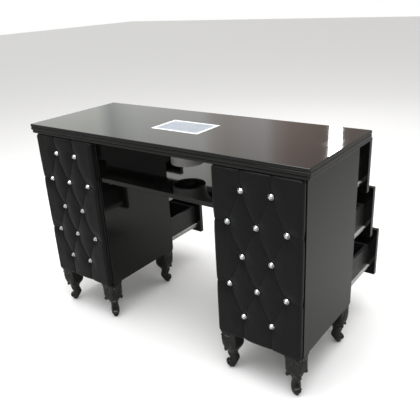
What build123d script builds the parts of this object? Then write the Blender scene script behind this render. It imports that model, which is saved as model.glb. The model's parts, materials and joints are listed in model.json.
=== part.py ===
from build123d import *
from math import cos, radians, sin
import os

# Manicure table: a worktop with a dust extractor, standing on two pedestals
# with three drawers each. Millimetres, +Z up. X runs along the worktop. The
# client sits on the -Y side, in front of the upholstered faces, and the
# technician on the +Y side, where the drawers open.
# The origin is on the floor, under the middle of the whole outline with the
# drawers open as far as they stand at rest.

# ---- Driving dimensions ----
TOP_LENGTH = 1200.0
TOP_DEPTH = 450.0
HEIGHT = 800.0
REED = 12.0                # the worktop's edge is three reeds of this height
REED_EASE = 3.5
TOP_CORNER = 5.0           # radius of the worktop's corners in plan
LOW_REED_INSET = 3.0       # lowest reed behind the two above it
LOW_REED_WIDTH = 50.0      # strip that makes the lowest reed
LEG_HEIGHT = 162.0
PEDESTAL_WIDTH = 312.0
SIDE_OVERHANG = 20.0       # worktop beyond a pedestal's outer side
BOARD = 18.0
BOTTOM_BOARD = 16.0
PAD_SETBACK = 1.0          # pad's face behind the worktop's front edge
PAD = 23.0
PAD_ROLL = 12.0            # radius of the pad's front edges
BACKING = 5.0              # board behind the pad
BACKING_INSET = 6.0
CARCASS_DEPTH = 371.0
RAIL_DEPTH = 80.0

# ---- Drawers ----
DRAWER_PITCH = 200.0
DRAWER_GAP = 3.0           # between two drawer fronts
FRONT_THICK = 20.0
FRONT_CLEAR = 2.0          # closed drawer front off the carcass
KNOB_REACH = 28.0
REST_OPEN = {              # how far each drawer stands open at rest
    ("left", "bottom"): 209.0,
    ("left", "middle"): 150.0,
    ("left", "top"): 90.0,
    ("right", "bottom"): 239.0,
    ("right", "middle"): 160.0,
    ("right", "top"): 90.0,
}
LEVELS = ("bottom", "middle", "top")
BOX_BOARD = 12.0
BOX_HEIGHT = 106.0
BOX_LENGTH = 350.0
BOX_RAISE = 22.0           # drawer side above its front's lower edge
BOX_FLOOR = 5.0
BOX_FLOOR_RAISE = 10.0
GROOVE = 6.0               # depth of the groove that holds the drawer's floor
GROOVE_CLEAR = 0.2
KNOB_FACETS = 8
KNOB_FOOT_R = 8.0
KNOB_FOOT = 3.0
KNOB_NECK_R = 4.5
KNOB_HEAD = ((8.0, 6.0), (18.0, 15.0), (KNOB_REACH, 7.0))   # reach, radius

# ---- Roller runners, one pair to a drawer ----
RUNNER_LENGTH = 350.0
SLIDE_GAP = 13.0           # drawer side to carcass side
RUNNER_DROP = 4.0          # cabinet rail below the drawer side
CHANNEL = 28.0             # height of the cabinet rail
RAIL_SETBACK = 2.0         # cabinet rail's end behind the carcass's rear edge
ROLLER_R = 8.5
TAIL_ROLLER_R = 9.0
ROLLER_WIDTH = 5.6
ROLLER_INSET = 10.0        # roller's axis from the end of its rail
PIN_R = 2.5
PIN_FIT = 0.05
# Sections as (distance from the carcass side, height above the rail's foot).
CABINET_RAIL = (
    (0.0, 0.0), (9.5, 0.0), (9.5, 3.0), (8.3, 3.0), (8.3, 1.2), (1.2, 1.2),
    (1.2, 26.8), (8.3, 26.8), (8.3, 25.0), (9.5, 25.0), (9.5, CHANNEL), (0.0, CHANNEL),
)
CABINET_WEB = 1.0          # from the carcass side into the cabinet rail's web
CABINET_ROLLER = 5.2       # from the carcass side to the near face of its roller
CABINET_PIN = 10.8
TRACK = 20.5               # drawer rail's underside above the rail's foot
DRAWER_RAIL = (
    (25.0, 2.8), (25.0, 4.0), (13.0, 4.0), (13.0, 22.0), (3.5, 22.0),
    (3.5, 19.8), (4.7, 19.8), (4.7, 20.8), (11.8, 20.8), (11.8, 2.8),
)
TAIL_ROLLER = 2.4          # from the carcass side to the near face of the tail roller
TAIL_PIN = 12.0
TAIL_TRACK = 1.5           # cabinet rail's floor above the rail's foot

# ---- Legs: height, side of the square section, step out towards the corner ----
LEG_SECTIONS = (
    (0.0, 17.0, 8.0),
    (10.0, 25.0, 7.0),
    (24.0, 35.0, 4.0),
    (36.0, 36.0, 1.0),
    (48.0, 30.0, -2.0),
    (61.0, 30.0, 0.0),
    (76.0, 40.0, 0.0),
    (92.0, 54.0, 0.0),
    (110.0, 56.0, 0.0),
    (LEG_HEIGHT, 56.0, 0.0),
)
LEG_ROUNDING = 0.22        # corner radius, as a share of the section's side
LEG_INSET = 32.0           # leg's middle from the two faces of its corner
LEG_SETBACK = 10.0         # front legs' corner behind the pad's face
LEG_BOLT_INSET = 10.0      # bolt's axis, further in than the leg's middle
LEG_BOLT_R = 4.0
LEG_BOLT_LENGTH = 60.0
TEE_NUT_R = 10.0
TEE_NUT = 1.5

# ---- Upholstery ----
BUTTON_R = 9.5
BUTTON_RING = 2.0
BUTTON_CROWN = 6.0
BUTTON_PITCH = 104.0
ROW_PITCH = 110.0
FIRST_ROW = 92.0           # above the pad's lower edge
ROWS = (2, 3, 2, 3, 2)
TUFT_DEPTH = 10.0
TUFT_FLOOR_R = 10.5
TUFT_MOUTH_R = 22.0

# ---- Extractor ----
VENT_LENGTH = 210.0
VENT_WIDTH = 136.0
VENT_RIM = 6.0
RIM_THICK = 2.0            # the rim lies flush in a rebate of this depth
RIM_FIT = 0.2
SLEEVE = 2.0
LEDGE = 5.0
LEDGE_DROP = 10.0          # ledge that the grille's skirt stands on
RIM_EASE = 0.6
SLEEVE_FIT = 0.3
GRILLE = 3.0
GRILLE_FIT = 0.3
GRILLE_SINK = 0.3          # grille's face below the worktop's
SKIRT = 1.5
SLOT = 1.6
SLOT_PITCH = 4.0
SLOT_BORDER = 5.5
FILTER = 5.0
FILTER_FIT = 0.6
FLANGE = 15.0              # funnel's flange beyond its wall
FLANGE_THICK = 3.0
FUNNEL_CORNER = 20.0
FAN_R = 62.0
FAN_WALL = 3.0
FAN_LOW = 668.0
FAN_HIGH = 700.0
GUARD = 2.5
GUARD_RINGS = (30.0, 41.0, 52.0)
SPOKE = 4.0
MOTOR_R = 13.0
MOTOR_BASE_R = 18.0
MOTOR_BASE = 5.5
MOTOR_CLEAR = 2.0          # motor's end below the rotor's cap
SHAFT_R = 2.0
SHAFT_FIT = 0.05
SHAFT_LOW = 679.0
ROTOR_R = 21.0
ROTOR_WALL = 3.0
ROTOR_LOW = 679.0
ROTOR_HIGH = 697.0
BLADES = 7
BLADE = 1.6
BLADE_CHORD = 21.0
BLADE_TIP_R = 56.0
BLADE_PITCH = 38.0

# ---- Extractor's switch box, under the worktop beside the left pedestal ----
BOX_X = -213.0
BOX_Y = 78.0               # behind the middle of the worktop
BOX_SIZE = (54.0, 46.0, 52.0)
BOX_CORNER = 6.0
ROCKER_WIDE = 13.0
ROCKER_TALL = 19.5
ROCKER_SINK = 3.0          # rocker's axis behind the box's face
ROCKER_WELL = 8.0
ROCKER_PIN_R = 1.0
ROCKER_PIN = 1.5           # pin beyond the rocker's side
ROCKER_FIT = 0.3
ROCKER_TILT = 8.0          # it rests tilted one way and is pressed over to the other

# ---- Shelf under the worktop ----
SHELF = 16.0
SHELF_TOP = 626.0
SHELF_SETBACK = 25.0       # shelf's front edge behind the worktop's
BRACKET = 28.0
BRACKET_WIDE = 20.0
BRACKET_GAUGE = 2.5
BRACKET_END = 60.0         # bracket's middle from the shelf's front or rear edge
SCREW_R = 1.9
SCREW_FIT = 0.1
SCREW_HEAD_R = 3.8
SCREW_HEAD = 2.2
SCREW_LENGTH = 12.0

# ---- Worked out from the dimensions above ----
UNDER_EDGE = HEIGHT - 3 * REED
UNDER_PANEL = HEIGHT - 2 * REED
OUTER = TOP_LENGTH / 2 - SIDE_OVERHANG         # pedestal's outer face
INNER = OUTER - PEDESTAL_WIDTH                 # pedestal's inner face
CENTRE = (OUTER + INNER) / 2
SIDE_SETBACK = PAD_SETBACK + PAD + BACKING
REACH = (SIDE_SETBACK + CARCASS_DEPTH + FRONT_CLEAR + FRONT_THICK
         + max(REST_OPEN.values()) + KNOB_REACH)
FRONT = -REACH / 2                             # worktop's front edge
MIDDLE = FRONT + TOP_DEPTH / 2                 # worktop's middle
PAD_FACE = FRONT + PAD_SETBACK
SIDE_FRONT = FRONT + SIDE_SETBACK
SIDE_REAR = SIDE_FRONT + CARCASS_DEPTH
FRONT_SEAT = SIDE_REAR + FRONT_CLEAR           # inner face of a closed drawer front
SIGNS = {"left": -1, "right": 1}

os.makedirs("parts", exist_ok=True)


def save(label, *solids):
    """Write one node. Several solids stay separate pieces of that node."""
    piece = solids[0] if len(solids) == 1 else Compound(children=list(solids))
    piece.label = label
    export_step(piece, f"parts/{label}.step")


def board(x, y, z, ease=0.0):
    """A flat board between three pairs of limits, its edges eased."""
    low = [min(span) for span in (x, y, z)]
    size = [abs(span[1] - span[0]) for span in (x, y, z)]
    with BuildPart() as piece:
        with Locations(tuple(low)):
            Box(*size, align=(Align.MIN, Align.MIN, Align.MIN))
        if ease:
            chamfer(piece.edges(), ease)
    return piece.part


def mirrored(sign, near, far):
    """X limits of a stretch from near to far of the middle, on either side."""
    return (sign * near, sign * far)


# ---- Worktop ----
def reed(length, depth, z):
    """One layer of the worktop with a half-round edge."""
    with BuildPart() as layer:
        with BuildSketch(Plane.XY.offset(z)):
            with Locations((0, MIDDLE)):
                RectangleRounded(length, depth, TOP_CORNER)
        extrude(amount=REED)
        fillet(layer.edges().filter_by(Axis.Z, reverse=True), REED_EASE)
    return layer.part


def vent_sketch(grow, z):
    """The vent's rectangle, grown on every side, at a height."""
    with BuildSketch(Plane.XY.offset(z)) as outline:
        with Locations((0, MIDDLE)):
            Rectangle(VENT_LENGTH + 2 * grow, VENT_WIDTH + 2 * grow)
    return outline.sketch


def worktop_panel():
    with BuildPart() as top_panel:
        add(reed(TOP_LENGTH, TOP_DEPTH, UNDER_PANEL))
        add(reed(TOP_LENGTH, TOP_DEPTH, UNDER_PANEL + REED))
        add(vent_sketch(-VENT_RIM, HEIGHT))
        extrude(amount=-2 * REED, mode=Mode.SUBTRACT)
        add(vent_sketch(RIM_FIT, HEIGHT))
        extrude(amount=-RIM_THICK, mode=Mode.SUBTRACT)
    save("worktop_panel", top_panel.part)


def edge_frame():
    """Four mitred strips under the panel, the lowest reed of its edge."""
    length, depth = TOP_LENGTH - 2 * LOW_REED_INSET, TOP_DEPTH - 2 * LOW_REED_INSET
    ring = reed(length, depth, UNDER_EDGE)
    x, y, width = length / 2, depth / 2, LOW_REED_WIDTH
    strips = []
    for turn, (a, b) in ((0, (x, y)), (90, (y, x)), (180, (x, y)), (270, (y, x))):
        with BuildPart() as strip:
            add(ring)
            with BuildSketch(Plane.XY.offset(UNDER_EDGE)):
                with Locations(Location((0, MIDDLE, 0), (0, 0, turn))):
                    Polygon((-a, -b), (a, -b), (a - width, width - b), (width - a, width - b),
                            align=None)
            extrude(amount=REED, mode=Mode.INTERSECT)
        strips.append(strip.part)
    save("edge_frame", *strips)


# ---- Extractor ----
def vent_frame():
    """Rim let into the worktop, with a sleeve down the cut-out and a ledge in it."""
    hole = -VENT_RIM - SLEEVE_FIT
    with BuildPart() as rim:
        add(vent_sketch(0, HEIGHT))
        extrude(amount=-RIM_THICK)
        fillet(rim.edges().group_by(Axis.Z)[-1], RIM_EASE)
        add(vent_sketch(hole, HEIGHT - RIM_THICK))
        extrude(amount=RIM_THICK - REED)
        add(vent_sketch(hole - SLEEVE, HEIGHT - LEDGE_DROP))
        extrude(amount=LEDGE_DROP, mode=Mode.SUBTRACT)
        add(vent_sketch(hole - SLEEVE - LEDGE, HEIGHT - REED))
        extrude(amount=REED, mode=Mode.SUBTRACT)
    save("vent_frame", rim.part)


def vent_grille():
    """Slotted plate with a skirt that stands on the frame's ledge."""
    hole = -VENT_RIM - SLEEVE_FIT - SLEEVE - GRILLE_FIT
    top = HEIGHT - GRILLE_SINK
    foot = HEIGHT - LEDGE_DROP
    slots = int((VENT_LENGTH + 2 * hole - 2 * SLOT_BORDER) / SLOT_PITCH)
    with BuildPart() as grille:
        add(vent_sketch(hole, foot))
        extrude(amount=top - foot)
        add(vent_sketch(hole - SKIRT, foot))
        extrude(amount=top - GRILLE - foot, mode=Mode.SUBTRACT)
        with BuildSketch(Plane.XY.offset(top)):
            with Locations((0, MIDDLE)):
                with GridLocations(SLOT_PITCH, 1, slots, 1):
                    Rectangle(SLOT, VENT_WIDTH + 2 * hole - 2 * SLOT_BORDER)
        extrude(amount=-GRILLE, mode=Mode.SUBTRACT)
    save("vent_grille", grille.part)


def vent_filter():
    with BuildPart() as fleece:
        add(vent_sketch(-VENT_RIM - SLEEVE_FIT - SLEEVE - GRILLE_FIT - SKIRT - FILTER_FIT,
                        HEIGHT - LEDGE_DROP))
        extrude(amount=FILTER)
    save("vent_filter", fleece.part)


def fan_funnel():
    """Shroud that narrows from the cut-out to the round fan."""
    mouth = -VENT_RIM - LEDGE
    with BuildPart() as funnel:
        add(vent_sketch(mouth + FAN_WALL + FLANGE, UNDER_PANEL - FLANGE_THICK))
        extrude(amount=FLANGE_THICK)
        for wall, mode in ((FAN_WALL, Mode.ADD), (0.0, Mode.SUBTRACT)):
            with BuildSketch(Plane.XY.offset(FAN_HIGH)):
                with Locations((0, MIDDLE)):
                    Circle(FAN_R - FAN_WALL + wall)
            with BuildSketch(Plane.XY.offset(UNDER_PANEL)):
                with Locations((0, MIDDLE)):
                    RectangleRounded(VENT_LENGTH + 2 * (mouth + wall),
                                     VENT_WIDTH + 2 * (mouth + wall), FUNNEL_CORNER)
            loft(mode=mode)
    save("fan_funnel", funnel.part)


def fan_housing():
    with BuildPart() as tube:
        with BuildSketch(Plane.XY.offset(FAN_LOW)):
            with Locations((0, MIDDLE)):
                Circle(FAN_R)
                Circle(FAN_R - FAN_WALL, mode=Mode.SUBTRACT)
        extrude(amount=FAN_HIGH - FAN_LOW)
        fillet(tube.edges().group_by(Axis.Z)[0].sort_by(SortBy.RADIUS)[-1], 2.0)
    save("fan_housing", tube.part)


def fan_guard():
    """Finger guard across the fan's outlet, with the plate the motor stands on."""
    with BuildPart() as guard:
        with BuildSketch(Plane.XY.offset(FAN_LOW)):
            with Locations((0, MIDDLE)):
                Circle(MOTOR_BASE_R)
                for radius in GUARD_RINGS:
                    Circle(radius)
                    Circle(radius - GUARD, mode=Mode.SUBTRACT)
                    Circle(MOTOR_BASE_R)
                with PolarLocations(0, 4):
                    with Locations(((FAN_R - FAN_WALL) / 2, 0)):
                        Rectangle(FAN_R - FAN_WALL - 0.2, SPOKE)
        extrude(amount=GUARD)
    save("fan_guard", guard.part)


def fan_motor():
    with BuildPart() as motor:
        base = FAN_LOW + GUARD
        for radius, low, high in ((MOTOR_BASE_R - 1, base, base + MOTOR_BASE),
                                  (MOTOR_R, base + MOTOR_BASE, ROTOR_HIGH - ROTOR_WALL - MOTOR_CLEAR)):
            with BuildSketch(Plane.XY.offset(low)):
                with Locations((0, MIDDLE)):
                    Circle(radius)
            extrude(amount=high - low)
        with BuildSketch(Plane.XY.offset(SHAFT_LOW - 1)):
            with Locations((0, MIDDLE)):
                Circle(SHAFT_R + SHAFT_FIT)
        extrude(amount=ROTOR_HIGH, mode=Mode.SUBTRACT)
    save("fan_motor", motor.part)


def fan_impeller():
    """Rotor cup with its shaft and blades."""
    tall = ROTOR_HIGH - ROTOR_LOW
    with BuildPart() as impeller:
        with Locations((0, MIDDLE, (ROTOR_HIGH + ROTOR_LOW) / 2)):
            with PolarLocations((BLADE_TIP_R + ROTOR_R) / 2, BLADES):
                Box(BLADE_TIP_R - ROTOR_R + ROTOR_WALL, BLADE_CHORD, BLADE,
                    rotation=(BLADE_PITCH, 0, 0))
        with BuildSketch(Plane.XY.offset(ROTOR_LOW)):
            with Locations((0, MIDDLE)):
                Circle(BLADE_TIP_R)
        extrude(amount=tall, mode=Mode.INTERSECT)
        with BuildSketch(Plane.XY.offset(ROTOR_LOW)):
            with Locations((0, MIDDLE)):
                Circle(ROTOR_R)
        extrude(amount=tall)
        fillet(impeller.edges().filter_by(GeomType.CIRCLE).group_by(Axis.Z)[-1], 1.5)
        with BuildSketch(Plane.XY.offset(ROTOR_LOW)):
            with Locations((0, MIDDLE)):
                Circle(ROTOR_R - ROTOR_WALL)
        extrude(amount=tall - ROTOR_WALL, mode=Mode.SUBTRACT)
        with BuildSketch(Plane.XY.offset(SHAFT_LOW)):
            with Locations((0, MIDDLE)):
                Circle(SHAFT_R)
        extrude(amount=ROTOR_HIGH - ROTOR_WALL - SHAFT_LOW)
    save("fan_impeller", impeller.part)


def switch_plane():
    """Plane on the switch box's face towards the technician, normal into the box."""
    y = MIDDLE + BOX_Y + BOX_SIZE[1] / 2
    return Plane(origin=(BOX_X, y, UNDER_PANEL - BOX_SIZE[2] / 2), x_dir=(1, 0, 0),
                 z_dir=(0, -1, 0))


def switch_box():
    face = switch_plane()
    with BuildPart() as case:
        with Locations((BOX_X, MIDDLE + BOX_Y, UNDER_PANEL - BOX_SIZE[2] / 2)):
            Box(*BOX_SIZE)
        fillet(case.edges().filter_by(Axis.Z), BOX_CORNER)
        fillet(case.edges().group_by(Axis.Z)[0], BOX_CORNER / 2)
        with BuildSketch(face):
            Rectangle(ROCKER_WIDE + 2 * ROCKER_FIT, ROCKER_TALL + 2 * ROCKER_FIT)
        extrude(amount=ROCKER_WELL, mode=Mode.SUBTRACT)
        with Locations(face.offset(ROCKER_SINK)):
            Cylinder(ROCKER_PIN_R + PIN_FIT, ROCKER_WIDE + 2 * ROCKER_PIN + 2 * ROCKER_FIT,
                     rotation=(0, 90, 0), mode=Mode.SUBTRACT)
    save("switch_box", case.part)


def switch_rocker():
    """Rocker with a shallow V face, on two stub pins in the well's sides."""
    face = switch_plane().offset(ROCKER_SINK)
    half = ROCKER_WIDE / 2
    tilt = radians(ROCKER_TILT)
    section = Plane(origin=face.origin - Vector(half, 0, 0),
                    x_dir=(0, cos(tilt), -sin(tilt)), z_dir=(1, 0, 0))
    tall = ROCKER_TALL / 2 - 1
    with BuildPart() as rocker:
        with BuildSketch(section):
            with BuildLine():
                Polyline((4, tall), (2.6, 0), (4, -tall), (-2.5, 1.5 - tall),
                         (-2.5, tall - 1.5), close=True)
            make_face()
        extrude(amount=ROCKER_WIDE)
        with Locations(face):
            Cylinder(ROCKER_PIN_R, ROCKER_WIDE + 2 * ROCKER_PIN, rotation=(0, 90, 0))
    save("switch_rocker", rocker.part)


# ---- Shelf under the worktop ----
def knee_shelf():
    save("knee_shelf", board((-INNER, INNER), (FRONT + SHELF_SETBACK, SIDE_REAR),
                             (SHELF_TOP - SHELF, SHELF_TOP), 1.0))


def bracket_places():
    """Where each shelf bracket stands: its side of the knee space and its middle."""
    for sign in SIGNS.values():
        for y in (FRONT + SHELF_SETBACK + BRACKET_END, SIDE_REAR - BRACKET_END):
            yield sign, y


def shelf_brackets():
    under = SHELF_TOP - SHELF
    angles = []
    for sign, y in bracket_places():
        with BuildPart() as angle:
            with BuildSketch(Plane.XZ.offset(-y - BRACKET_WIDE / 2)):
                with BuildLine():
                    Polyline((sign * INNER, under), (sign * (INNER - BRACKET), under),
                             (sign * (INNER - BRACKET), under - BRACKET_GAUGE),
                             (sign * (INNER - BRACKET_GAUGE), under - BRACKET_GAUGE),
                             (sign * (INNER - BRACKET_GAUGE), under - BRACKET),
                             (sign * INNER, under - BRACKET), close=True)
                make_face()
            extrude(amount=BRACKET_WIDE)
            mid = BRACKET / 2 + BRACKET_GAUGE / 2
            with Locations((sign * (INNER - mid), y, under - BRACKET_GAUGE / 2)):
                Cylinder(SCREW_R + SCREW_FIT, 2 * BRACKET_GAUGE, mode=Mode.SUBTRACT)
            with Locations((sign * (INNER - BRACKET_GAUGE / 2), y, under - mid)):
                Cylinder(SCREW_R + SCREW_FIT, 2 * BRACKET_GAUGE, rotation=(0, 90, 0),
                         mode=Mode.SUBTRACT)
        angles.append(angle.part)
    save("shelf_brackets", *angles)


def shelf_screws():
    """Pan-head screws, one up into the shelf and one into the side, per bracket."""
    under = SHELF_TOP - SHELF
    mid = BRACKET / 2 + BRACKET_GAUGE / 2
    screws = []
    for sign, y in bracket_places():
        up = Plane(origin=(sign * (INNER - mid), y, under - BRACKET_GAUGE), z_dir=(0, 0, 1))
        across = Plane(origin=(sign * (INNER - BRACKET_GAUGE), y, under - mid),
                       z_dir=(sign, 0, 0))
        for place in (up, across):
            with BuildPart() as screw:
                with BuildSketch(place):
                    Circle(SCREW_R)
                extrude(amount=SCREW_LENGTH)
                with BuildSketch(place):
                    Circle(SCREW_HEAD_R)
                extrude(amount=-SCREW_HEAD)
                fillet(screw.edges().filter_by(GeomType.CIRCLE)
                       .sort_by(Axis(place.origin, place.z_dir))[0], SCREW_HEAD / 2)
            screws.append(screw.part)
    save("shelf_screws", *screws)


# ---- Pedestals ----
def carcass(side, sign):
    depth = (SIDE_FRONT, SIDE_REAR)
    tall = (LEG_HEIGHT, UNDER_EDGE)
    inside = mirrored(sign, INNER + BOARD, OUTER - BOARD)
    save(f"{side}_outer_side", board(mirrored(sign, OUTER - BOARD, OUTER), depth, tall, 0.8))
    save(f"{side}_inner_side", board(mirrored(sign, INNER, INNER + BOARD), depth, tall, 0.8))
    save(f"{side}_bottom_panel", board(inside, depth, (LEG_HEIGHT, LEG_HEIGHT + BOTTOM_BOARD)))


def backing_boards():
    """One board behind each pad, the pad's leather stapled round it."""
    save("backing_boards", *(
        board(mirrored(sign, INNER + BACKING_INSET, OUTER - BACKING_INSET),
              (SIDE_FRONT - BACKING, SIDE_FRONT),
              (LEG_HEIGHT + BACKING_INSET, UNDER_EDGE - BACKING_INSET))
        for sign in SIGNS.values()))


def top_rails():
    """Rails that tie each pedestal's sides together and carry the worktop."""
    save("pedestal_top_rails", *(
        board(mirrored(sign, INNER + BOARD, OUTER - BOARD), limits,
              (UNDER_EDGE - BOARD, UNDER_EDGE))
        for sign in SIGNS.values()
        for limits in ((SIDE_FRONT, SIDE_FRONT + RAIL_DEPTH),
                       (SIDE_REAR - RAIL_DEPTH, SIDE_REAR))))


def button_places():
    """Middle of each tuft, in a plane upright and level with the pad's middle."""
    for row, count in enumerate(ROWS):
        for step in range(count):
            yield ((step - (count - 1) / 2) * BUTTON_PITCH,
                   LEG_HEIGHT + FIRST_ROW + row * ROW_PITCH)


def front_plane(sign, y):
    """Upright plane over a pedestal's middle, its normal towards the client."""
    return Plane(origin=(sign * CENTRE, y, 0), x_dir=(1, 0, 0), z_dir=(0, -1, 0))


def tufted_pad(side, sign):
    with BuildPart() as pad:
        with Locations((sign * CENTRE, PAD_FACE + PAD / 2, (LEG_HEIGHT + UNDER_EDGE) / 2)):
            Box(PEDESTAL_WIDTH, PAD, UNDER_EDGE - LEG_HEIGHT)
        fillet(pad.faces().sort_by(Axis.Y)[0].edges(), PAD_ROLL)
        with Locations(front_plane(sign, PAD_FACE + TUFT_DEPTH / 2)):
            with Locations(*button_places()):
                Cone(TUFT_FLOOR_R, TUFT_MOUTH_R, TUFT_DEPTH, mode=Mode.SUBTRACT)
    save(f"{side}_tufted_pad", pad.part)


def crystal_buttons():
    """Faceted stones on round settings, one at the bottom of each tuft."""
    buttons = []
    for sign, place in ((sign, place) for sign in SIGNS.values() for place in button_places()):
        seat = front_plane(sign, PAD_FACE + TUFT_DEPTH)
        with BuildPart() as button:
            with BuildSketch(seat):
                with Locations(place):
                    Circle(BUTTON_R)
            extrude(amount=BUTTON_RING)
            with BuildSketch(seat.offset(BUTTON_RING)):
                with Locations(place):
                    RegularPolygon(BUTTON_R - 0.3, 12)
            with BuildSketch(seat.offset(BUTTON_RING + BUTTON_CROWN)):
                with Locations(place):
                    RegularPolygon(BUTTON_R * 0.5, 12)
            loft()
        buttons.append(button.part)
    save("crystal_buttons", *buttons)


def leg(name, x_sign, y_sign, x, y):
    """Cabriole leg whose square section steps out towards its corner."""
    mid_x = x - x_sign * LEG_INSET
    mid_y = y - y_sign * LEG_INSET
    with BuildPart() as cabriole:
        for height, size, out in LEG_SECTIONS:
            with BuildSketch(Plane.XY.offset(height)):
                with Locations((mid_x + x_sign * out, mid_y + y_sign * out)):
                    RectangleRounded(size, size, size * LEG_ROUNDING)
        loft(ruled=True)
    save(name, cabriole.part)
    return mid_x, mid_y


def leg_bolt(x, y):
    """Hanger bolt from a leg up into the tee nut on the pedestal's bottom."""
    top = LEG_HEIGHT + BOTTOM_BOARD
    with BuildPart() as bolt:
        for radius, low, high in ((LEG_BOLT_R, top - LEG_BOLT_LENGTH, top),
                                  (TEE_NUT_R, top, top + TEE_NUT)):
            with BuildSketch(Plane.XY.offset(low)):
                with Locations((x, y)):
                    Circle(radius)
            extrude(amount=high - low)
    return bolt.part


def legs():
    """Two front legs under the pad's corners and two under the rear ones."""
    bolts = []
    for side, sign in SIGNS.items():
        for across, x_sign, x in (("outer", sign, OUTER), ("inner", -sign, INNER)):
            for along, y_sign, y in (("front", -1, PAD_FACE + LEG_SETBACK), ("rear", 1, SIDE_REAR)):
                mid_x, mid_y = leg(f"{side}_{along}_{across}_leg", x_sign, y_sign, sign * x, y)
                bolts.append(leg_bolt(mid_x - x_sign * LEG_BOLT_INSET,
                                      mid_y - y_sign * LEG_BOLT_INSET))
    save("leg_bolts", *bolts)


# ---- Runners ----
def drawer_walls(sign):
    """Inner faces of a pedestal's two sides, and the way into the pedestal."""
    return ((sign * (OUTER - BOARD), -sign), (sign * (INNER + BOARD), sign))


def rail(section, wall, inward, foot, start):
    """A rail's section, measured from a carcass side, drawn out along Y."""
    with BuildPart() as strip:
        with BuildSketch(Plane.XZ.offset(-start)):
            with BuildLine():
                Polyline(*((wall + inward * d, foot + h) for d, h in section), close=True)
            make_face()
        extrude(amount=-RUNNER_LENGTH)
    return strip.part


def roller(wall, inward, near, y, z, radius):
    """A roller at a distance from the carcass side, bored for its pin."""
    plane = Plane(origin=(wall + inward * near, y, z), z_dir=(inward, 0, 0))
    with BuildPart() as wheel:
        with BuildSketch(plane):
            Circle(radius)
            Circle(PIN_R + PIN_FIT, mode=Mode.SUBTRACT)
        extrude(amount=ROLLER_WIDTH)
        fillet(wheel.edges().filter_by(GeomType.CIRCLE).group_by(SortBy.RADIUS)[-1], 0.8)
    return wheel.part


def pinned(strip, wall, inward, near, far, y, z):
    """The rail with a roller's pin standing on its web."""
    plane = Plane(origin=(wall + inward * near, y, z), z_dir=(inward, 0, 0))
    with BuildPart() as whole:
        add(strip)
        with BuildSketch(plane):
            Circle(PIN_R)
        extrude(amount=far - near)
    return whole.part


def cabinet_runners():
    """Two rails to each drawer, with a roller at the opening."""
    end = SIDE_REAR - RAIL_SETBACK
    start, y = end - RUNNER_LENGTH, end - ROLLER_INSET
    pieces = []
    for sign, level in ((sign, level) for sign in SIGNS.values() for level in range(len(LEVELS))):
        foot = LEG_HEIGHT + level * DRAWER_PITCH + BOX_RAISE - RUNNER_DROP
        z = foot + TRACK - ROLLER_R
        for wall, inward in drawer_walls(sign):
            strip = rail(CABINET_RAIL, wall, inward, foot, start)
            pieces.append(pinned(strip, wall, inward, CABINET_WEB, CABINET_PIN, y, z))
            pieces.append(roller(wall, inward, CABINET_ROLLER, y, z, ROLLER_R))
    save("cabinet_runners", *pieces)


# ---- Drawers ----
def drawer_front(name, sign, base, seat):
    front = board(mirrored(sign, INNER, OUTER), (seat, seat + FRONT_THICK),
                  (base, base + DRAWER_PITCH - DRAWER_GAP), 1.2)
    save(f"{name}_drawer_front", front)


def drawer_box(name, sign, base, seat):
    """Two grooved sides, a back, an inner front and a floor held in the grooves."""
    low = base + BOX_RAISE
    tall = (low, low + BOX_HEIGHT)
    depth = (seat - BOX_LENGTH, seat)
    outer, inner = OUTER - BOARD - SLIDE_GAP, INNER + BOARD + SLIDE_GAP
    floor = low + BOX_FLOOR_RAISE
    ends = mirrored(sign, inner + BOX_BOARD, outer - BOX_BOARD)
    groove = board(mirrored(sign, inner + BOX_BOARD - GROOVE, outer - BOX_BOARD + GROOVE),
                   (depth[0] + BOX_BOARD - GROOVE, depth[1] - BOX_BOARD + GROOVE),
                   (floor, floor + BOX_FLOOR))
    boards = [
        board(mirrored(sign, outer - BOX_BOARD, outer), depth, tall),
        board(mirrored(sign, inner, inner + BOX_BOARD), depth, tall),
        board(ends, (depth[0], depth[0] + BOX_BOARD), tall),
        board(ends, (depth[1] - BOX_BOARD, depth[1]), tall),
    ]
    pieces = []
    for plain in boards:
        with BuildPart() as grooved:
            add(plain)
            add(groove, mode=Mode.SUBTRACT)
        pieces.append(grooved.part)
    slack = GROOVE - GROOVE_CLEAR
    pieces.append(board(
        mirrored(sign, inner + BOX_BOARD - slack, outer - BOX_BOARD + slack),
        (depth[0] + BOX_BOARD - slack, depth[1] - BOX_BOARD + slack),
        (floor, floor + BOX_FLOOR - GROOVE_CLEAR)))
    save(f"{name}_drawer_box", *pieces)


def drawer_runners(name, sign, base, seat):
    """A rail under each drawer side, with a roller at its tail."""
    foot = base + BOX_RAISE - RUNNER_DROP
    start = seat - BOX_LENGTH
    y, z = start + ROLLER_INSET, foot + TAIL_TRACK + TAIL_ROLLER_R
    pieces = []
    for wall, inward in drawer_walls(sign):
        strip = rail(DRAWER_RAIL, wall, inward, foot, start)
        pieces.append(pinned(strip, wall, inward, TAIL_ROLLER, TAIL_PIN, y, z))
        pieces.append(roller(wall, inward, TAIL_ROLLER, y, z, TAIL_ROLLER_R))
    save(f"{name}_drawer_runners", *pieces)


def drawer_knob(name, sign, base, seat):
    """Turned foot and faceted crystal head on the face towards the technician."""
    middle = base + (DRAWER_PITCH - DRAWER_GAP) / 2
    face = Plane(origin=(sign * CENTRE, seat + FRONT_THICK, middle), z_dir=(0, 1, 0))
    with BuildPart() as knob:
        for radius, length in ((KNOB_FOOT_R, KNOB_FOOT), (KNOB_NECK_R, KNOB_HEAD[0][0])):
            with BuildSketch(face):
                Circle(radius)
            extrude(amount=length)
        for ends in zip(KNOB_HEAD, KNOB_HEAD[1:]):
            for reach, radius in ends:
                with BuildSketch(face.offset(reach)):
                    RegularPolygon(radius, KNOB_FACETS)
            loft()
    save(f"{name}_drawer_knob", knob.part)


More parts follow.
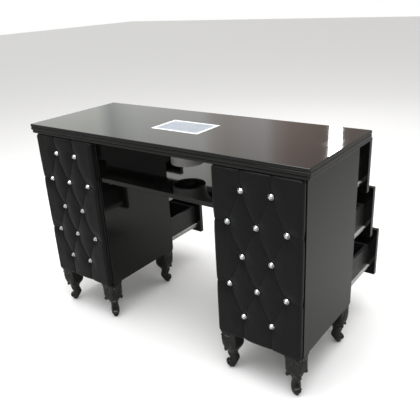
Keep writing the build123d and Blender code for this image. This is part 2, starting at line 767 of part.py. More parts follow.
def drawers():
    for (side, level), opened in REST_OPEN.items():
        name, sign = f"{side}_{level}", SIGNS[side]
        base = LEG_HEIGHT + LEVELS.index(level) * DRAWER_PITCH
        seat = FRONT_SEAT + opened
        drawer_front(name, sign, base, seat)
        drawer_box(name, sign, base, seat)
        drawer_runners(name, sign, base, seat)
        drawer_knob(name, sign, base, seat)


worktop_panel()
edge_frame()
vent_frame()
vent_grille()
vent_filter()
fan_funnel()
fan_housing()
fan_guard()
fan_motor()
fan_impeller()
switch_box()
switch_rocker()
knee_shelf()
shelf_brackets()
shelf_screws()
for side_name, side_sign in SIGNS.items():
    carcass(side_name, side_sign)
    tufted_pad(side_name, side_sign)
backing_boards()
top_rails()
crystal_buttons()
cabinet_runners()
legs()
drawers()
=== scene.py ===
"""Manicure table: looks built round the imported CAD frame. Metres, +Z up."""

import json
import math

import bmesh
import bpy
import numpy as np
from mathutils import Euler, Matrix, Vector, noise


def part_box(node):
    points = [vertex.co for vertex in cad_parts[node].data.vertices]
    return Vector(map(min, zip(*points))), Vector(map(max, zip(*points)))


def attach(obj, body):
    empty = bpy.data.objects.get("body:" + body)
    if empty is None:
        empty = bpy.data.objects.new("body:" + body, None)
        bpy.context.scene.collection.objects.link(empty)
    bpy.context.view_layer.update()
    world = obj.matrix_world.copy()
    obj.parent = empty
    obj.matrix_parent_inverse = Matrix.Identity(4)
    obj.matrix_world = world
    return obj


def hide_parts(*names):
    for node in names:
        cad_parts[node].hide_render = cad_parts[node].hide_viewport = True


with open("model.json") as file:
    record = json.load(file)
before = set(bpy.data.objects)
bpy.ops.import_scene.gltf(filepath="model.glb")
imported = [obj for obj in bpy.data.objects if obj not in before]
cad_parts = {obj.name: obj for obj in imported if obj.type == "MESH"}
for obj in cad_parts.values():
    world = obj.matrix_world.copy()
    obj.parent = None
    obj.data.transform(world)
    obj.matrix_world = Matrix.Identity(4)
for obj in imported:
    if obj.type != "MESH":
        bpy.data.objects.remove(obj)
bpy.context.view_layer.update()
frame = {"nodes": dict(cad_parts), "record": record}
NODES = frame["nodes"]

# ---- Places taken from the frame ----
TOP_LOW, TOP_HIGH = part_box("worktop_panel")
MIDDLE_Y = (TOP_LOW.y + TOP_HIGH.y) / 2
SIDES = {"left": -1, "right": 1}
MM = 0.001
LEG_INSET = 32 * MM            # leg's middle from the two faces of its corner
LEG_SETBACK = 10 * MM          # front legs' corner behind the pad's face

# ---- Camera, at the photograph's viewing angle ----
CAMERA_FROM_MIDDLE = Vector((1.1717, -1.4071, 1.2379))
CAMERA_TURN = 37.54            # degrees about the vertical
CAMERA_DOWN = 22.71
CAMERA_ROLL = -3.14
LENS = 44.53                   # millimetres on a 36 mm sensor


def camera():
    data = bpy.data.cameras.new("camera")
    data.sensor_width = 36
    data.lens = LENS
    data.clip_start = 0.05
    data.clip_end = 50
    eye = bpy.data.objects.new("camera", data)
    eye.location = CAMERA_FROM_MIDDLE + Vector((0, MIDDLE_Y, 0))
    turn = (Matrix.Rotation(math.radians(CAMERA_TURN), 4, "Z")
            @ Matrix.Rotation(math.radians(90 - CAMERA_DOWN), 4, "X")
            @ Matrix.Rotation(math.radians(CAMERA_ROLL), 4, "Z"))
    eye.rotation_euler = turn.to_euler()
    bpy.context.scene.collection.objects.link(eye)
    bpy.context.scene.camera = eye


# ---- Small helpers for node materials ----
class Shader:
    """A principled material with its nodes added one by one."""

    def __init__(self, name, colour, rough, **sockets):
        self.material = bpy.data.materials.new(name)
        self.material.use_nodes = True
        self.tree = self.material.node_tree
        self.bsdf = self.tree.nodes["Principled BSDF"]
        self.set("Base Color", (*colour, 1))
        self.set("Roughness", rough)
        for key, value in sockets.items():
            self.set(key.replace("_", " "), value)

    def set(self, socket, value):
        self.bsdf.inputs[socket].default_value = value

    def node(self, kind, **inputs):
        made = self.tree.nodes.new(kind)
        for key, value in inputs.items():
            made.inputs[key.replace("_", " ")].default_value = value
        return made

    def link(self, out, target):
        self.tree.links.new(out, target)

    def coords(self, stretch=(1, 1, 1)):
        where = self.tree.nodes.new("ShaderNodeTexCoord")
        mapping = self.node("ShaderNodeMapping", Scale=stretch)
        self.link(where.outputs["Object"], mapping.inputs["Vector"])
        return mapping.outputs["Vector"]

    def noise(self, scale, detail=3.0, rough=0.5, stretch=(1, 1, 1)):
        made = self.node("ShaderNodeTexNoise", Scale=scale, Detail=detail, Roughness=rough)
        self.link(self.coords(stretch), made.inputs["Vector"])
        return made.outputs["Fac"]

    def cells(self, scale, stretch=(1, 1, 1)):
        made = self.node("ShaderNodeTexVoronoi", Scale=scale)
        made.feature = "DISTANCE_TO_EDGE"
        self.link(self.coords(stretch), made.inputs["Vector"])
        return made.outputs["Distance"]

    def ramp(self, source, low, high, to_low, to_high):
        made = self.node("ShaderNodeMapRange")
        made.inputs["From Min"].default_value = low
        made.inputs["From Max"].default_value = high
        made.inputs["To Min"].default_value = to_low
        made.inputs["To Max"].default_value = to_high
        self.link(source, made.inputs["Value"])
        return made.outputs["Result"]

    def mix(self, source, first, second):
        made = self.tree.nodes.new("ShaderNodeMix")
        made.data_type = "RGBA"
        made.inputs["A"].default_value = (*first, 1)
        made.inputs["B"].default_value = (*second, 1)
        self.link(source, made.inputs["Factor"])
        return made.outputs["Result"]

    def colour(self, out):
        self.link(out, self.bsdf.inputs["Base Color"])
        return self

    def rough(self, out):
        self.link(out, self.bsdf.inputs["Roughness"])
        return self

    def bump(self, height, depth, strength=1.0):
        """Bump of a real depth in metres; called again, it stacks on the first."""
        made = self.node("ShaderNodeBump", Strength=strength, Distance=depth)
        self.link(height, made.inputs["Height"])
        socket = self.bsdf.inputs["Normal"]
        if socket.is_linked:
            self.link(socket.links[0].from_socket, made.inputs["Normal"])
        self.link(made.outputs["Normal"], socket)
        return self


# ---- Materials ----
def lacquer():
    """High-gloss black lacquer: faint orange peel and faint wiping haze."""
    s = Shader("gloss_black_lacquer", (0.005, 0.005, 0.005), 0.06, IOR=1.5)
    s.rough(s.ramp(s.noise(7, 4, 0.6), 0.35, 0.75, 0.035, 0.085))
    s.colour(s.mix(s.ramp(s.noise(3, 2), 0.3, 0.7, 0, 1), (0.004, 0.004, 0.004), (0.007, 0.007, 0.0065)))
    s.bump(s.noise(55, 2), 0.00004, 0.35)
    return s.material


def carved_lacquer():
    s = Shader("carved_black_lacquer", (0.010, 0.010, 0.0095), 0.16, IOR=1.5)
    s.rough(s.ramp(s.noise(60, 4, 0.6), 0.35, 0.7, 0.10, 0.26))
    s.bump(s.noise(320, 3, 0.6), 0.00012, 0.5)
    return s.material


def black_board():
    """Satin black melamine with a fine pressed grain."""
    s = Shader("black_board", (0.016, 0.016, 0.017), 0.34, IOR=1.5)
    grain = s.noise(140, 4, 0.6, (1, 0.08, 1))
    s.rough(s.ramp(grain, 0.3, 0.7, 0.28, 0.42))
    s.colour(s.mix(grain, (0.012, 0.012, 0.013), (0.022, 0.022, 0.023)))
    s.bump(grain, 0.00005, 0.5)
    return s.material


def leather():
    """Soft black leatherette: fine pebble grain and a dull satin sheen."""
    s = Shader("black_leather", (0.0055, 0.0055, 0.006), 0.46, IOR=1.45, Specular_IOR_Level=0.26,
               Sheen_Weight=0.03, Sheen_Roughness=0.4)
    broad = s.noise(16, 3)
    s.rough(s.ramp(broad, 0.3, 0.7, 0.36, 0.50))
    s.colour(s.mix(broad, (0.0045, 0.0045, 0.005), (0.0075, 0.0075, 0.008)))
    s.bump(s.cells(900), 0.00022, 0.4)
    s.bump(s.noise(260, 4, 0.6), 0.00012, 0.3)
    return s.material


def crystal():
    """Foil-backed cut crystal: bright, with painted highlights and painted dark patches in its colour
    standing in for facets that catch the light.
    """
    s = Shader("crystal", (0.86, 0.89, 0.93), 0.06, Metallic=0.85, IOR=1.6, Coat_Weight=1.0,
               Coat_Roughness=0.02)
    # Painted reflection: fine noise swaps the colour between dull grey and near white, standing in for
    # facets that catch or miss the light.
    s.colour(s.mix(s.ramp(s.noise(420, 1), 0.40, 0.60, 0, 1), (0.52, 0.56, 0.62), (0.97, 0.98, 1.0)))
    return s.material


def chrome():
    s = Shader("chrome", (0.80, 0.81, 0.83), 0.09, Metallic=1.0)
    s.rough(s.ramp(s.noise(300, 3), 0.3, 0.7, 0.05, 0.14))
    return s.material


def enamel():
    """Epoxy coating on pressed steel, a little uneven in tone and roughness all over."""
    s = Shader("runner_enamel", (0.60, 0.60, 0.58), 0.35, IOR=1.5)
    s.colour(s.mix(s.ramp(s.noise(30, 3), 0.3, 0.7, 0, 1), (0.52, 0.52, 0.50), (0.66, 0.66, 0.64)))
    s.rough(s.ramp(s.noise(90, 3), 0.3, 0.7, 0.28, 0.46))
    s.bump(s.noise(700, 2), 0.00003, 0.6)
    return s.material


def white_trim():
    s = Shader("white_trim", (0.78, 0.78, 0.79), 0.24, IOR=1.48)
    s.rough(s.ramp(s.noise(80, 3), 0.3, 0.7, 0.18, 0.32))
    s.bump(s.noise(500, 2), 0.00002, 0.5)
    return s.material


def white_plastic():
    s = Shader("white_plastic", (0.74, 0.72, 0.70), 0.34, IOR=1.48)
    s.colour(s.mix(s.noise(25, 2), (0.70, 0.68, 0.66), (0.78, 0.76, 0.74)))
    s.bump(s.noise(900, 2), 0.00004, 0.7)
    return s.material


def grille_metal():
    """Pale blue-grey satin anodising, brushed along the grille's length."""
    s = Shader("grille_aluminium", (0.46, 0.50, 0.56), 0.36, Metallic=0.35, IOR=1.5)
    brushed = s.noise(160, 4, 0.6, (0.04, 1, 1))
    s.colour(s.mix(brushed, (0.42, 0.46, 0.52), (0.52, 0.55, 0.61)))
    s.rough(s.ramp(brushed, 0.3, 0.7, 0.30, 0.44))
    s.bump(brushed, 0.00003, 0.5)
    return s.material


def fleece():
    s = Shader("filter_fleece", (0.62, 0.65, 0.69), 0.95, Sheen_Weight=0.3)
    fibres = s.noise(900, 5, 0.75)
    s.colour(s.mix(fibres, (0.48, 0.51, 0.55), (0.72, 0.75, 0.79)))
    s.bump(fibres, 0.0006, 0.9)
    return s.material


def black_plastic():
    s = Shader("black_plastic", (0.014, 0.014, 0.014), 0.38, IOR=1.48)
    s.rough(s.ramp(s.noise(120, 3), 0.3, 0.7, 0.30, 0.46))
    s.bump(s.noise(1400, 2), 0.00003, 0.8)
    return s.material


def zinc():
    s = Shader("zinc_steel", (0.52, 0.53, 0.55), 0.32, Metallic=1.0)
    patches = s.cells(120)
    s.colour(s.mix(s.ramp(patches, 0, 0.4, 0, 1), (0.46, 0.47, 0.49), (0.58, 0.59, 0.60)))
    s.rough(s.ramp(s.noise(200, 3), 0.3, 0.7, 0.24, 0.42))
    return s.material


MATERIALS = {
    "gloss_black_lacquer": lacquer(),
    "carved_black_lacquer": carved_lacquer(),
    "black_board": black_board(),
    "black_leather": leather(),
    "crystal": crystal(),
    "runner_enamel": enamel(),
    "white_trim": white_trim(),
    "white_plastic": white_plastic(),
    "grille_aluminium": grille_metal(),
    "filter_fleece": fleece(),
    "black_plastic": black_plastic(),
    "zinc_steel": zinc(),
}
CHROME = chrome()


def dress_nodes():
    """Every carried-over CAD node takes the material of its slot."""
    for part in frame["record"]["subparts"]:
        mesh = NODES[part["node"]].data
        mesh.materials.clear()
        mesh.materials.append(MATERIALS[part["material_slot"]])


# ---- Making pieces ----
def piece(name, mesh, slot, body, *replaced, materials=None, smooth=True):
    made = bpy.data.objects.new(name, mesh)
    bpy.context.scene.collection.objects.link(made)
    for material in materials or [MATERIALS[slot]]:
        mesh.materials.append(material)
    for face in mesh.polygons:
        face.use_smooth = smooth
    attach(made, body)
    if replaced:
        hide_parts(*replaced)
    return made


def mesh_of(name, verts, faces):
    mesh = bpy.data.meshes.new(name)
    mesh.from_pydata([tuple(v) for v in verts], [], faces)
    mesh.validate()
    mesh.update()
    return mesh


# ---- Tufted pads ----
PAD_STEP = 2.6 * MM            # grid of a pad's face
PAD_ROLL = 13 * MM             # radius of its rolled edge
TUFT_DEPTH = 10 * MM
BUTTON_PITCH = 104 * MM
ROW_PITCH = 110 * MM
FIRST_ROW = 92 * MM
ROWS = (2, 3, 2, 3, 2)
PLEAT_DEPTH = 5.5 * MM
PILLOW_REACH = 46 * MM         # from a pleat to the crown of the pillow beside it


def tufts():
    """Middle of each tuft from the pad's middle and its lower edge."""
    rows = []
    for row, count in enumerate(ROWS):
        rows.append([((step - (count - 1) / 2) * BUTTON_PITCH, FIRST_ROW + row * ROW_PITCH)
                     for step in range(count)])
    return rows


def pleats(width, height):
    """Folds between neighbouring tufts and from the outer tufts to the edges."""
    rows = tufts()
    folds = []
    for low, high in zip(rows, rows[1:]):
        for a in low:
            for b in high:
                if abs(a[0] - b[0]) < BUTTON_PITCH * 0.6:
                    folds.append((a, b))
    for row in rows:
        if len(row) == 3:
            for end, side in ((row[0], -1), (row[-1], 1)):
                folds.append((end, (side * width / 2, end[1])))
    for x, z in rows[0]:
        folds.append(((x, z), (x, 0)))
    for x, z in rows[-1]:
        folds.append(((x, z), (x, height)))
    return folds


def segment_distance(px, pz, a, b):
    ax, az = a
    dx, dz = b[0] - ax, b[1] - az
    along = np.clip(((px - ax) * dx + (pz - az) * dz) / (dx * dx + dz * dz), 0, 1)
    return np.hypot(px - ax - along * dx, pz - az - along * dz)


def face_depth(px, pz, width, height, seed):
    """How far the leather lies behind the pad's foremost plane."""
    near = np.full(px.shape, 1.0)
    for a, b in pleats(width, height):
        near = np.minimum(near, segment_distance(px, pz, a, b))
    tuft = np.full(px.shape, 1.0)
    pucker = np.zeros(px.shape)
    for k, (bx, bz) in enumerate(b for row in tufts() for b in row):
        reach = np.hypot(px - bx, pz - bz)
        angle = np.arctan2(pz - bz, px - bx)
        folds = np.cos(9 * angle + seed + k) + 0.6 * np.cos(14 * angle + 2.1 * k)
        ring = np.exp(-((reach - 19 * MM) / (12 * MM)) ** 2)
        pucker += 0.55 * MM * folds * ring
        tuft = np.minimum(tuft, reach)
    rise = 1 - np.clip(near / PILLOW_REACH, 0, 1)
    pillow = PLEAT_DEPTH * (1 - np.sqrt(np.clip(1 - rise ** 2, 0, 1)))
    crease = 1.6 * MM * np.exp(-(near / (2.2 * MM)) ** 2)
    out = np.clip((tuft - 8 * MM) / (44 * MM), 0, 1)
    dimple = TUFT_DEPTH * (1 - out) ** 2.3
    depth = np.maximum(dimple, 0) + (pillow + crease) * (1 - 0.55 * (1 - out) ** 2)
    depth = np.where(tuft < 10.5 * MM, np.maximum(depth, TUFT_DEPTH + 0.1 * MM), depth)
    return depth + pucker * np.clip((tuft - 9 * MM) / (5 * MM), 0, 1)


def spread(length):
    """Grid lines across a side of the pad, closer together on its rolled edges."""
    roll = [PAD_ROLL * (1 - math.cos(math.radians(t))) for t in range(0, 90, 10)]
    count = max(2, round((length - 2 * PAD_ROLL) / PAD_STEP))
    flat = [PAD_ROLL + (length - 2 * PAD_ROLL) * k / count for k in range(count + 1)]
    return np.array(roll + flat + [length - r for r in reversed(roll)])


def tufted_pad(side, seed):
    low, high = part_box(f"{side}_tufted_pad")
    width, height, thick = high.x - low.x, high.z - low.z, high.y - low.y
    xs, zs = spread(width), spread(height)
    px, pz = np.meshgrid(xs - width / 2, zs)
    in_x = np.minimum(px + width / 2, width / 2 - px)
    in_z = np.minimum(pz, height - pz)
    over_x = np.clip(1 - in_x / PAD_ROLL, 0, 1)
    over_z = np.clip(1 - in_z / PAD_ROLL, 0, 1)
    over = np.hypot(over_x, over_z)
    pull = np.where(over > 1, 1 / np.maximum(over, 1e-9), 1.0)
    over_x, over_z, over = over_x * pull, over_z * pull, np.minimum(over, 1)
    lift = np.sqrt(np.clip(1 - over ** 2, 0, 1))
    sx, sz = np.sign(px), np.sign(pz - height / 2)
    bx = sx * (width / 2 - PAD_ROLL * (1 - over_x)) * (over_x > 0) + px * (over_x <= 0)
    bz = np.where(over_z > 0, height / 2 + sz * (height / 2 - PAD_ROLL * (1 - over_z)), pz)
    by = PAD_ROLL * (1 - lift)
    depth = face_depth(px, pz, width, height, seed)
    edge = np.clip(over * 1.2 - 0.1, 0, 1)
    depth = depth * (1 - 0.45 * edge) + 0.4 * MM
    nx, nz, ny = sx * over_x, sz * over_z, -lift
    rows, cols = px.shape
    centre = (low.x + high.x) / 2
    verts = []
    for j in range(rows):
        for i in range(cols):
            d = depth[j, i]
            x, z = bx[j, i] - nx[j, i] * d, bz[j, i] - nz[j, i] * d
            y = by[j, i] - ny[j, i] * d
            ripple = noise.noise(Vector((x * 22 + seed, z * 22, seed))) * 0.7 * MM
            verts.append((centre + x, low.y + y + ripple * lift[j, i], low.z + z))
    faces = [(j * cols + i, j * cols + i + 1, (j + 1) * cols + i + 1, (j + 1) * cols + i)
             for j in range(rows - 1) for i in range(cols - 1)]
    rim = ([i for i in range(cols)] + [j * cols + cols - 1 for j in range(1, rows)]
           + [(rows - 1) * cols + i for i in range(cols - 2, -1, -1)]
           + [j * cols for j in range(rows - 2, 0, -1)])
    rings = [rim]
    for drop, tuck in ((0.35, 0.2), (0.7, 0.5), (0.95, 1.6), (1.0, 4.0)):
        start = len(verts)
        for k in rim:
            x, y, z = verts[k]
            ex, ez = x - centre, z - (low.z + high.z) / 2
            tx = max(0.0, 1 - tuck * MM / max(abs(ex), 1e-6))
            tz = max(0.0, 1 - tuck * MM / max(abs(ez), 1e-6))
            verts.append((centre + ex * tx, y + (high.y - y) * drop,
                          (low.z + high.z) / 2 + ez * tz))
        rings.append(list(range(start, start + len(rim))))
    count = len(rim)
    for a, b in zip(rings, rings[1:]):
        faces += [(a[k], b[k], b[(k + 1) % count], a[(k + 1) % count]) for k in range(count)]
    faces.append(list(reversed(rings[-1])))
    mesh = mesh_of(f"{side}_leather_pad", verts, faces)
    made = piece(f"{side}_leather_pad", mesh, "black_leather", "table", f"{side}_tufted_pad")


# ---- Carved legs ----
# One leg in its own place: s outwards along the diagonal of its corner, t across,
# z up, all in millimetres from the floor under the leg's middle.
# Rows: height, reach inwards, reach outwards, half width, squareness.
LEG_RINGS = (
    (0.0, -8.0, 15.0, 5.5, 2.0),
    (2.0, -5.0, 16.5, 9.0, 2.0),
    (6.0, 3.0, 17.0, 12.0, 2.2),
    (14.0, 10.0, 16.0, 15.0, 2.3),
    (24.0, 17.0, 14.0, 16.5, 2.4),
    (36.0, 22.5, 12.0, 16.5, 2.4),
    (46.0, 21.5, 14.0, 15.0, 2.3),
    (57.0, 17.5, 18.0, 14.5, 2.4),
    (68.0, 18.5, 20.0, 16.5, 2.6),
    (78.0, 25.0, 23.0, 22.0, 3.0),
    (88.0, 34.0, 28.0, 30.0, 4.0),
    (98.0, 39.0, 32.0, 35.0, 6.0),
    (118.0, 39.0, 36.0, 37.0, 8.0),
    (140.0, 39.0, 37.0, 38.0, 11.0),
    (162.0, 39.0, 39.0, 39.0, 14.0),
)
LEG_AROUND = 224
LEG_RISE = 1.0                 # height of a ring of the grid
LEG_VOXEL = 0.95
VOLUTE_AT = (14.0, 24.0)       # s and z of the scrolled toe
EAR_AT = (4.5, 30.0, 88.0)     # s, t and z of the small scroll at either side
CARVING = 3.4                  # relief of the leaves


def through(z, column):
    """A smooth curve through one column of the leg's rows."""
    heights = np.array([row[0] for row in LEG_RINGS])
    values = np.array([row[column] for row in LEG_RINGS])
    slopes = np.gradient(values, heights)
    k = np.clip(np.searchsorted(heights, z, side="right") - 1, 0, len(heights) - 2)
    span = heights[k + 1] - heights[k]
    u = (z - heights[k]) / span
    return ((2 * u ** 3 - 3 * u ** 2 + 1) * values[k] + (u ** 3 - 2 * u ** 2 + u) * span * slopes[k]
            + (3 * u ** 2 - 2 * u ** 3) * values[k + 1] + (u ** 3 - u ** 2) * span * slopes[k + 1])


def step(value, low, high):
    u = np.clip((value - low) / (high - low), 0, 1)
    return u * u * (3 - 2 * u)


def leaf(across, along, length, width, lobes, skew=0.0):
    """Relief of an acanthus leaf: lobed outline, midrib and curved veins."""
    u = np.clip(along / length, 0, 1)
    spread_out = width * np.sin(np.pi * np.clip(u * 0.92 + 0.10, 0, 1)) ** 0.7
    lobed = spread_out * (0.74 + 0.26 * np.abs(np.sin(np.pi * (u * lobes - skew))))
    off = np.abs(across)
    inside = step(lobed - off, 0.0, 1.4) * step(along, -1, 1.5) * step(length - along, -0.5, 2.5)
    share = off / np.maximum(lobed, 1.0)
    veins = 0.32 * np.cos(2 * np.pi * (u * lobes * 2 + share * 0.9))
    rib = -0.45 * np.exp(-(off / 1.1) ** 2) + 0.35 * np.exp(-((off - 2.6) / 1.3) ** 2)
    return inside * (0.55 + 0.45 * share ** 2 + veins * step(share, 0.1, 0.3) + rib)


def ridge(a, z, points, width):
    """Relief of a raised line through points on the leg's unrolled surface."""
    near = np.full(a.shape, 1e3)
    for p, q in zip(points, points[1:]):
        near = np.minimum(near, segment_distance(a, z, p, q))
    return np.exp(-(near / width) ** 2)


def curl(points_from, centre, radius, start, sweep, steps=14):
    return points_from + [(centre[0] + radius * (1 - 0.62 * k / steps)
                           * math.cos(math.radians(start + sweep * k / steps)),
                           centre[1] + radius * (1 - 0.62 * k / steps)
                           * math.sin(math.radians(start + sweep * k / steps)))
                          for k in range(steps + 1)]


def leg_body():
    """Grid of the leg's shaft and knee with its carving raised from the surface."""
    count = int(LEG_RINGS[-1][0] / LEG_RISE)
    heights = np.array([LEG_RINGS[-1][0] * k / count for k in range(count + 1)])
    theta = np.linspace(-math.pi, math.pi, LEG_AROUND, endpoint=False)
    reach_in, reach_out, half, square = (through(heights, c)[:, None] for c in (1, 2, 3, 4))
    power = np.maximum(square, 2.0)
    aligned = theta[None, :] + math.pi / 4
    shape = (np.abs(np.cos(aligned)) ** power + np.abs(np.sin(aligned)) ** power) ** (-1 / power)
    corner = (2 * math.sqrt(0.5) ** power) ** (-1 / power)
    unit = shape / corner
    s = unit * np.cos(theta)[None, :]
    s = np.where(s > 0, s * reach_out, s * reach_in)
    t = unit * np.sin(theta)[None, :] * half
    z = np.repeat(heights[:, None], LEG_AROUND, axis=1)
    arc = np.zeros_like(s)
    mid = LEG_AROUND // 2
    ds, dt = np.diff(s, axis=1), np.diff(t, axis=1)
    length = np.hypot(ds, dt)
    arc[:, mid + 1:] = np.cumsum(length[:, mid:], axis=1)
    arc[:, :mid] = -np.cumsum(length[:, :mid][:, ::-1], axis=1)[:, ::-1]
    side = np.abs(arc)
    relief = 1.15 * leaf(arc, 134 - z, 62, 17, 4.0)
    tilt = math.radians(24)
    for centre, top, long, wide in ((29, 138, 60, 11), (14, 128, 40, 6)):
        x = (side - centre) * math.cos(tilt) - (z - top) * math.sin(tilt)
        down = (top - z) * math.cos(tilt) - (side - centre) * math.sin(tilt)
        relief = np.maximum(relief, 0.95 * leaf(x, down, long, wide, 3.0, 0.3))
    scroll = curl([(3, 137), (9, 143), (17, 146), (25, 143)], (27, 136.5), 7.0, 80, -400)
    relief = np.maximum(relief, 1.25 * ridge(side, z, scroll, 1.7))
    lower = curl([(36, 134), (40, 122), (41, 108), (39, 97)], (35, 90), 7.0, 40, -330)
    relief = np.maximum(relief, 1.15 * ridge(side, z, lower, 1.6))
    relief = np.maximum(relief, 1.5 * np.exp(-((side / 4.2) ** 2 + ((z - 141) / 5.0) ** 2)))
    relief = np.maximum(relief, 0.85 * step(z, 152, 153.2) * step(160.2 - z, 0, 1.2))
    flutes = 0.45 * np.cos(arc * 1.15) * step(z, 40, 52) * step(72 - z, 0, 8)
    relief = relief + flutes * step(16 - side, 0, 6)
    back = step(np.abs(theta[None, :]), 1.85, 2.15)
    relief = relief * CARVING * (1 - back)
    out = np.hypot(s, t) + 1e-6
    s, t = s + relief * s / out, t + relief * t / out
    verts = [(s[j, i], t[j, i], z[j, i]) for j in range(count + 1) for i in range(LEG_AROUND)]
    faces = [(j * LEG_AROUND + i, j * LEG_AROUND + (i + 1) % LEG_AROUND,
              (j + 1) * LEG_AROUND + (i + 1) % LEG_AROUND, (j + 1) * LEG_AROUND + i)
             for j in range(count) for i in range(LEG_AROUND)]
    faces.append([LEG_AROUND - 1 - i for i in range(LEG_AROUND)])
    faces.append([count * LEG_AROUND + i for i in range(LEG_AROUND)])
    return verts, faces


def volute(place, axis, up, start, turns, radius, inner, thick, width, flare, hand=1):
    """A band rolled into a spiral, widening and thinning towards its inner end."""
    axis, up = Vector(axis).normalized(), Vector(up).normalized()
    ahead = up.cross(axis) * hand
    centre = Vector(place)
    section = 16
    steps = int(30 * turns)
    verts, faces = [], []
    for k in range(steps + 1):
        u = k / steps
        turn = math.radians(start) + u * turns * 2 * math.pi
        r = radius + (inner - radius) * u ** 0.85
        outward = ahead * math.cos(turn) + up * math.sin(turn)
        half = (width / 2) + flare * u
        deep = thick / 2 * (1 - 0.35 * u)
        for m in range(section):
            v = 2 * math.pi * m / section
            c, d = math.cos(v), math.sin(v)
            c = math.copysign(abs(c) ** 0.55, c)
            d = math.copysign(abs(d) ** 0.75, d)
            verts.append(centre + outward * (r - deep + deep * d) + axis * (half * c))
    for k in range(steps):
        for m in range(section):
            n = (m + 1) % section
            faces.append((k * section + m, k * section + n, (k + 1) * section + n,
                          (k + 1) * section + m))
    faces.append([section - 1 - m for m in range(section)])
    faces.append([steps * section + m for m in range(section)])
    return verts, faces


def ball(place, radii, axis=(0, 0, 1)):
    """An ellipsoid whose last radius lies along axis."""
    turn = Vector((0, 0, 1)).rotation_difference(Vector(axis))
    verts, faces = [], []
    rings, around = 10, 18
    for j in range(1, rings):
        polar = math.pi * j / rings
        for i in range(around):
            v = 2 * math.pi * i / around
            local = Vector((radii[0] * math.sin(polar) * math.cos(v),
                            radii[1] * math.sin(polar) * math.sin(v), radii[2] * math.cos(polar)))
            verts.append(Vector(place) + turn @ local)
    top, low = len(verts), len(verts) + 1
    verts += [Vector(place) + turn @ Vector((0, 0, radii[2])),
              Vector(place) - turn @ Vector((0, 0, radii[2]))]
    for j in range(rings - 2):
        for i in range(around):
            n = (i + 1) % around
            faces.append((j * around + i, (j + 1) * around + i, (j + 1) * around + n,
                          j * around + n))
    last = (rings - 2) * around
    for i in range(around):
        n = (i + 1) % around
        faces.append((top, i, n))
        faces.append((low, last + n, last + i))
    return verts, faces


def joined(shells):
    verts, faces = [], []
    for more, loops in shells:
        start = len(verts)
        verts += [tuple(v) for v in more]
        faces += [tuple(start + k for k in loop) for loop in loops]
    return verts, faces


def leg_mesh():
    """The shaft, the scrolled toe, ears and leaf tips, fused as one carving."""
    toe_s, toe_z = VOLUTE_AT
    shells = [leg_body()]
    shells.append(volute((toe_s, 0, toe_z), (0, 1, 0), (0, 0, 1), -110, 1.4, 14.5, 4.0, 6.6,
                         19, 5.0, hand=-1))
    shells.append(ball((toe_s, 0, toe_z), (4.5, 4.5, 16.5), (0, 1, 0)))
    ear_s, ear_t, ear_z = EAR_AT
    for sign in (-1, 1):
        face = Vector((1, sign, 0)).normalized()
        at = Vector((ear_s, sign * ear_t, ear_z))
        shells.append(volute(at, face, (0, 0, 1), 120, 1.25, 9.0, 2.8, 4.6, 10, 1.6, hand=-sign))
        shells.append(ball(at, (3.2, 3.2, 8.0), face))
    shells.append(volute((27.0, 0, 79.0), (0, 1, 0), (0, 0, 1), 60, 1.2, 7.0, 2.2, 3.8, 15, 1.5,
                         hand=1))
    shells.append(ball((27.0, 0, 79.0), (2.8, 2.8, 10.0), (0, 1, 0)))
    verts, faces = joined(shells)
    rough = mesh_of("leg_shells", verts, faces)
    carved = bpy.data.objects.new("leg_shells", rough)
    bpy.context.scene.collection.objects.link(carved)
    fuse = carved.modifiers.new("fuse", "REMESH")
    fuse.mode = "VOXEL"
    fuse.voxel_size = LEG_VOXEL
    fuse.use_smooth_shade = True
    ease = carved.modifiers.new("ease", "SMOOTH")
    ease.factor = 0.5
    ease.iterations = 2
    thin = carved.modifiers.new("thin", "DECIMATE")
    thin.ratio = 0.45
    view = bpy.context.evaluated_depsgraph_get()
    mesh = bpy.data.meshes.new_from_object(carved.evaluated_get(view))
    mesh.name = "carved_leg"
    bpy.data.objects.remove(carved)
    lift = min(v.co.z for v in mesh.vertices)
    top = max(v.co.z for v in mesh.vertices)
    grow = LEG_RINGS[-1][0] / (top - lift)
    for v in mesh.vertices:
        v.co = Vector((v.co.x, v.co.y, (v.co.z - lift) * grow)) * MM
    mesh.update()
    return mesh


def carved_legs():
    carving = leg_mesh()
    for side, sign in SIDES.items():
        for across in ("outer", "inner"):
            for along in ("front", "rear"):
                node = f"{side}_{along}_{across}_leg"
                out_x = sign if across == "outer" else -sign
                out_y = -1 if along == "front" else 1
                low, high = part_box(f"{side}_{across}_side")
                x = high.x - LEG_INSET if out_x > 0 else low.x + LEG_INSET
                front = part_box(f"{side}_tufted_pad")[0].y + LEG_SETBACK + LEG_INSET
                place = Vector((x, high.y - LEG_INSET if out_y > 0 else front, 0))
                turn = Matrix.Rotation(math.atan2(out_y, out_x), 4, "Z")
                mesh = carving.copy()
                mesh.transform(Matrix.Translation(place) @ turn)
                piece(f"{side}_{along}_{across}_cabriole", mesh, "carved_black_lacquer", "table",
                      node)
    bpy.data.meshes.remove(carving)


# ---- Lights and stage ----
# What the lacquer mirrors: pale walls behind the technician, a dimmer room in
# front. Bearing is in degrees from +Y towards -X, with the wall's colour there.
WALLS = (
    (-180, (0.20, 0.20, 0.20)),
    (-110, (0.34, 0.34, 0.34)),
    (-40, (0.62, 0.61, 0.60)),
    (8, (0.50, 0.44, 0.41)),
    (23, (0.34, 0.27, 0.24)),
    (29, (0.52, 0.42, 0.38)),
    (31, (0.82, 0.80, 0.79)),
    (36, (0.70, 0.64, 0.60)),
    (38, (1.00, 1.00, 0.96)),
    (46, (1.02, 1.04, 0.99)),
    (47.5, (0.62, 0.66, 0.64)),
    (49, (1.10, 1.12, 1.06)),
    (75, (1.20, 1.22, 1.16)),
    (110, (0.50, 0.50, 0.50)),
    (180, (0.20, 0.20, 0.20)),
)
FLOOR_SEEN = 0.90
FLOOR_MIRRORED = (0.34, 0.34, 0.33)


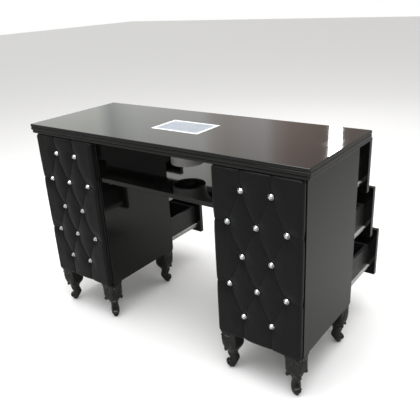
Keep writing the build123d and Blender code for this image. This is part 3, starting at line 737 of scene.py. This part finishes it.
def area_light(name, place, target, size, power, colour=(1, 1, 1)):
    data = bpy.data.lights.new(name, "AREA")
    data.shape = "RECTANGLE"
    data.size, data.size_y = size
    data.energy = power
    data.color = colour
    lamp = bpy.data.objects.new(name, data)
    lamp.location = place
    lamp.rotation_euler = (Vector(target) - Vector(place)).to_track_quat("-Z", "Y").to_euler()
    bpy.context.scene.collection.objects.link(lamp)


def room():
    """White behind the object, and the walls above for what it mirrors."""
    world = bpy.data.worlds.new("studio")
    world.use_nodes = True
    tree = world.node_tree
    nodes, links = tree.nodes, tree.links
    back = nodes["Background"]
    where = nodes.new("ShaderNodeTexCoord")
    split = nodes.new("ShaderNodeSeparateXYZ")
    links.new(where.outputs["Generated"], split.inputs[0])
    flip = nodes.new("ShaderNodeMath")
    flip.operation = "MULTIPLY"
    flip.inputs[1].default_value = -1
    links.new(split.outputs["X"], flip.inputs[0])
    bearing = nodes.new("ShaderNodeMath")
    bearing.operation = "ARCTAN2"
    links.new(flip.outputs[0], bearing.inputs[0])
    links.new(split.outputs["Y"], bearing.inputs[1])
    turn = nodes.new("ShaderNodeMapRange")
    turn.inputs["From Min"].default_value = -math.pi
    turn.inputs["From Max"].default_value = math.pi
    links.new(bearing.outputs[0], turn.inputs["Value"])
    ramp = nodes.new("ShaderNodeValToRGB")
    stops = ramp.color_ramp.elements
    while len(stops) < len(WALLS):
        stops.new(0.5)
    for stop, (angle, colour) in zip(stops, WALLS):
        stop.position = (angle + 180) / 360
        stop.color = (*colour, 1)
    links.new(turn.outputs["Result"], ramp.inputs["Fac"])
    ceiling = nodes.new("ShaderNodeMapRange")
    ceiling.inputs["From Min"].default_value = 0.55
    ceiling.inputs["From Max"].default_value = 0.95
    ceiling.interpolation_type = "SMOOTHSTEP"
    links.new(split.outputs["Z"], ceiling.inputs["Value"])
    lofty = nodes.new("ShaderNodeMix")
    lofty.data_type = "RGBA"
    lofty.inputs["B"].default_value = (1.0, 1.0, 1.0, 1)
    links.new(ceiling.outputs["Result"], lofty.inputs["Factor"])
    links.new(ramp.outputs["Color"], lofty.inputs["A"])
    rays = nodes.new("ShaderNodeLightPath")
    seen = nodes.new("ShaderNodeMix")
    seen.data_type = "RGBA"
    seen.inputs["B"].default_value = (1.0, 1.0, 1.0, 1)
    links.new(rays.outputs["Is Camera Ray"], seen.inputs["Factor"])
    links.new(lofty.outputs["Result"], seen.inputs["A"])
    links.new(seen.outputs["Result"], back.inputs["Color"])
    bpy.context.scene.world = world


def studio():
    room()
    bpy.context.scene.view_settings.view_transform = "Standard"
    area_light("overhead", (0.3, -0.6, 3.4), (0, 0, 0.4), (3.2, 3.2), 150)
    area_light("front", (2.6, -3.0, 2.2), (0, 0, 0.4), (0.9, 1.6), 26)
    area_light("window", (-1.15, 3.9, 2.0), (0.5, 0, 0.8), (0.14, 0.55), 6)
    bpy.ops.mesh.primitive_plane_add(size=40, location=(0, 0, 0))
    floor = bpy.context.active_object
    floor.name = "floor"
    s = Shader("pale_floor", (FLOOR_SEEN,) * 3, 0.8)
    rays = s.tree.nodes.new("ShaderNodeLightPath")
    s.colour(s.mix(rays.outputs["Is Camera Ray"], FLOOR_MIRRORED, (FLOOR_SEEN,) * 3))
    floor.data.materials.append(s.material)


dress_nodes()
for number, side_name in enumerate(SIDES):
    tufted_pad(side_name, seed=3.7 + 5 * number)
carved_legs()
studio()
camera()
